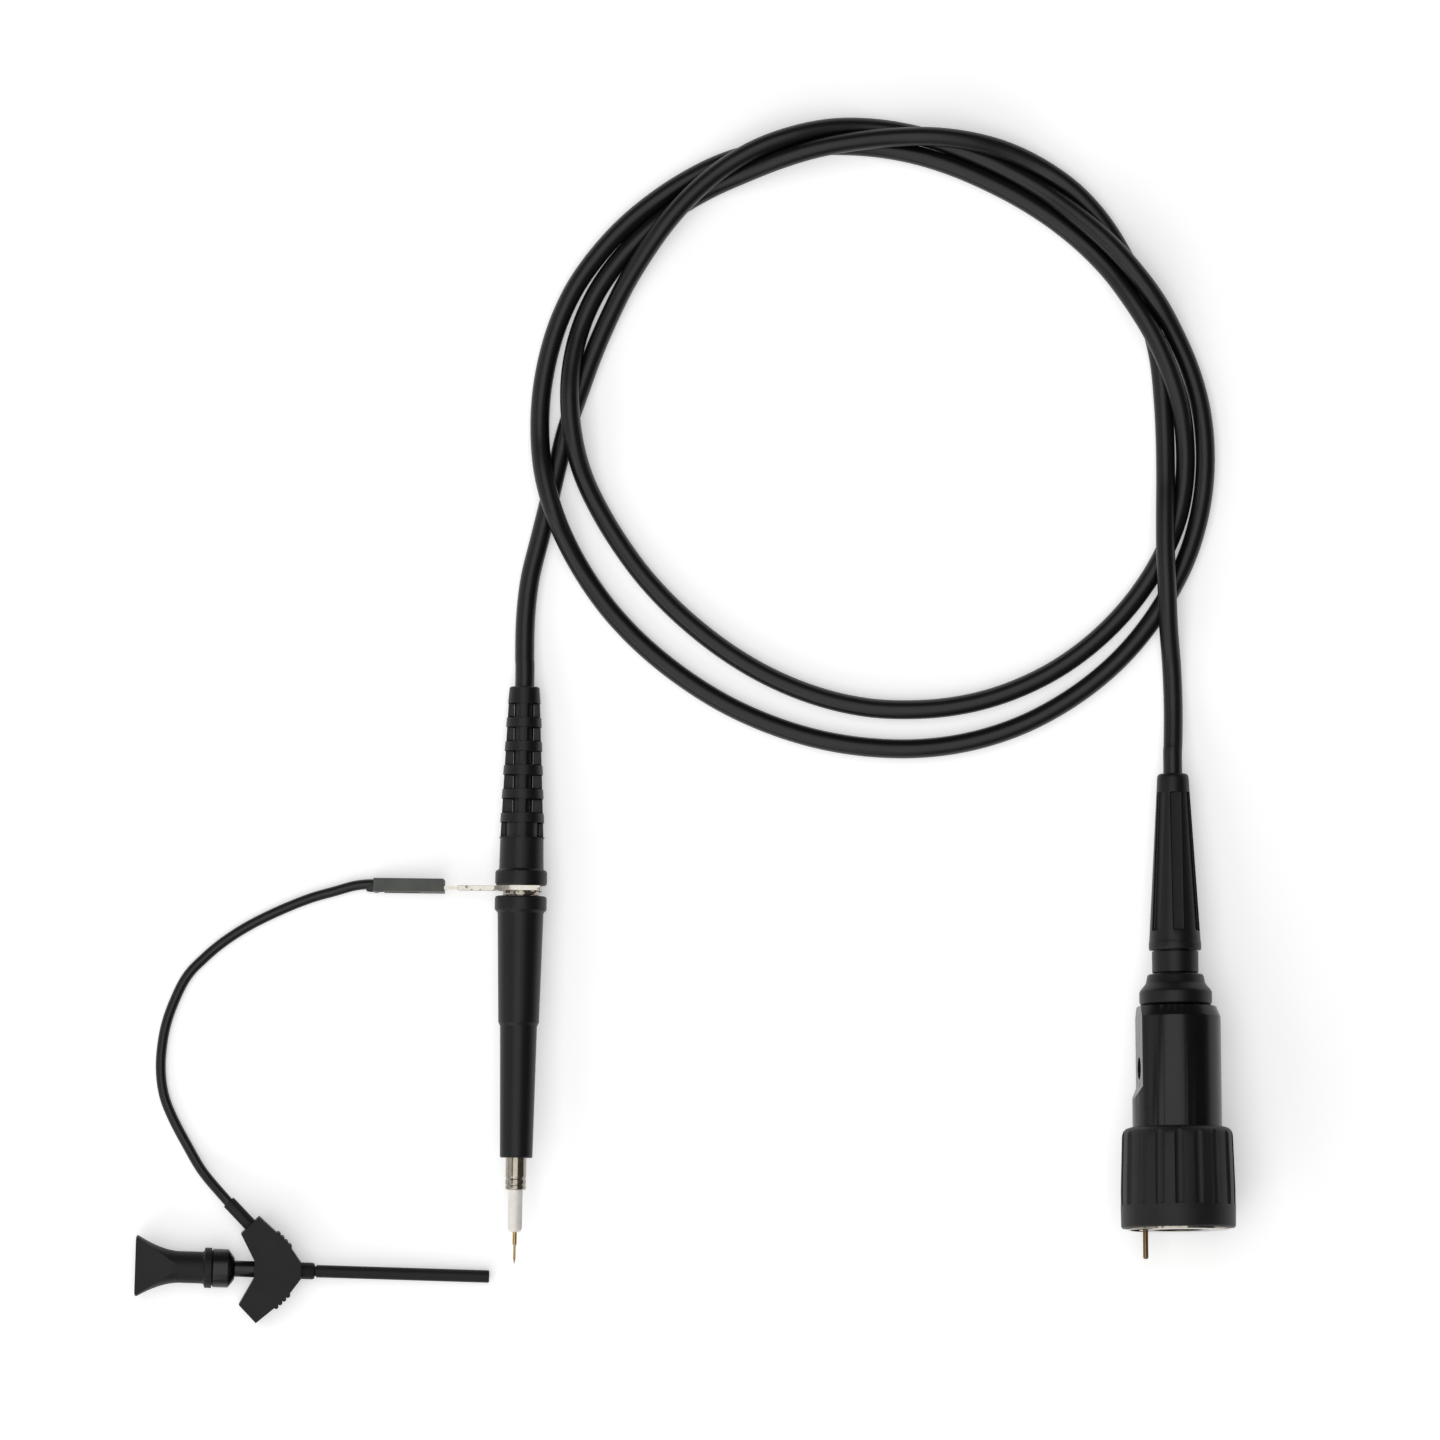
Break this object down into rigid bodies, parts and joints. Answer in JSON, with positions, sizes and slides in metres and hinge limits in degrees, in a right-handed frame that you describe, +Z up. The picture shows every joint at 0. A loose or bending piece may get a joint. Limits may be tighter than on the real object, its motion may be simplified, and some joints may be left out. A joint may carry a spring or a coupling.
{
  "type": "oscilloscope probe",
  "caption": "Passive oscilloscope probe: pencil-shaped head with a caged cable boot and sprung needle tip, coiled cable, bayonet connector with fluted knob, and ground lead with a hook clip.",
  "frame": {"origin": "On the table, under the middle of the bounding box of the rigid pieces (the two cords left out)", "axes": "+X runs from the hook clip to the connector, -Y is the way the probe tip and the connector point, +Z is up"},
  "size_m": [0.2168, 0.2382, 0.0237],
  "materials": {
    "cable_black": "satin black",
    "boot_black": "satin black moulding",
    "gloss_black": "glossy black moulding",
    "knob_black": "fine matte black moulding",
    "clip_black": "matte black moulding",
    "plunger_black": "shiny black moulding",
    "socket_grey": "dark grey moulding",
    "tip_white": "off-white moulding",
    "nickel": "bright nickel plating",
    "gold": "gold plating",
    "spring_steel": "plain spring steel",
    "board_green": "green board",
    "ceramic_blue": "glazed blue",
    "contact_plastic": "white fluoropolymer",
    "gasket_grey": "dark grey rubber"
  },
  "bodies": {
    "probe": {"cable_boot": "boot_black", "head_ferrule": "cable_black", "shield_tube": "nickel", "ground_ring": "nickel", "front_barrel": "boot_black", "tip_insulator": "tip_white", "tip_barrel": "gold", "tip_spring": "spring_steel", "attenuator_board": "board_green", "divider_resistor": "ceramic_blue", "main_cable": "cable_black", "connector_boot": "boot_black", "crimp_ferrule": "nickel", "boot_neck": "boot_black", "collar_ring": "boot_black", "compensation_housing": "gloss_black", "compensation_board": "board_green", "trimmer_body": "ceramic_blue", "connector_body": "nickel", "contact_insulator": "contact_plastic", "centre_pin": "gold", "readout_barrel": "nickel", "readout_spring": "spring_steel", "wave_washer": "spring_steel", "retaining_ring": "spring_steel", "face_gasket": "gasket_grey"},
    "knob": {"coupling_knob": "knob_black", "bayonet_nut": "nickel"},
    "readout_pin": {"readout_pin": "gold"},
    "tip_needle": {"tip_needle": "gold"},
    "trimmer_screw": {"trimmer_screw": "gold"},
    "ground_lead": {"ground_fork": "nickel", "lead_socket_housing": "socket_grey", "lead_socket_contact": "nickel", "lead_wire": "cable_black", "clip_sleeve": "clip_black", "clip_body": "clip_black", "clip_tube": "clip_black", "clip_contact": "gold", "clip_spring": "spring_steel"},
    "plunger": {"plunger_cap": "clip_black", "plunger_collar": "plunger_black", "hook_wire": "spring_steel"}
  },
  "joints": [
    {"name": "knob_turn", "type": "hinge", "parent": "probe", "child": "knob", "pos_m": [0.09707, -0.03402, 0.01162], "axis": [0.009, -0.996, 0.0894], "range_deg": [0, 90]},
    {"name": "readout_pin_press", "type": "slide", "parent": "probe", "child": "readout_pin", "axis": [-0.009, 0.996, -0.0894], "range_m": [0, 0.002], "stiffness_N_per_m": 200, "springref_m": -0.001, "deforming": ["readout_spring"]},
    {"name": "tip_press", "type": "slide", "parent": "probe", "child": "tip_needle", "axis": [0.0171, 0.9982, -0.0572], "range_m": [0, 0.0015], "stiffness_N_per_m": 200, "springref_m": -0.001, "deforming": ["tip_spring"]},
    {"name": "trimmer_turn", "type": "hinge", "parent": "probe", "child": "trimmer_screw", "pos_m": [0.0924, -0.0122, 0.01013], "axis": [-0.9946, 0.0003, 0.1041], "continuous": true},
    {"name": "ground_fork_turn", "type": "hinge", "parent": "probe", "child": "ground_lead", "pos_m": [-0.03211, 0.02308, 0.00531], "axis": [-0.0171, -0.9982, 0.0572], "continuous": true},
    {"name": "clip_plunger", "type": "slide", "parent": "ground_lead", "child": "plunger", "axis": [0.9985, -0.0331, -0.0427], "range_m": [0, 0.0035], "stiffness_N_per_m": 300, "springref_m": -0.001, "deforming": ["clip_spring"]}
  ]
}
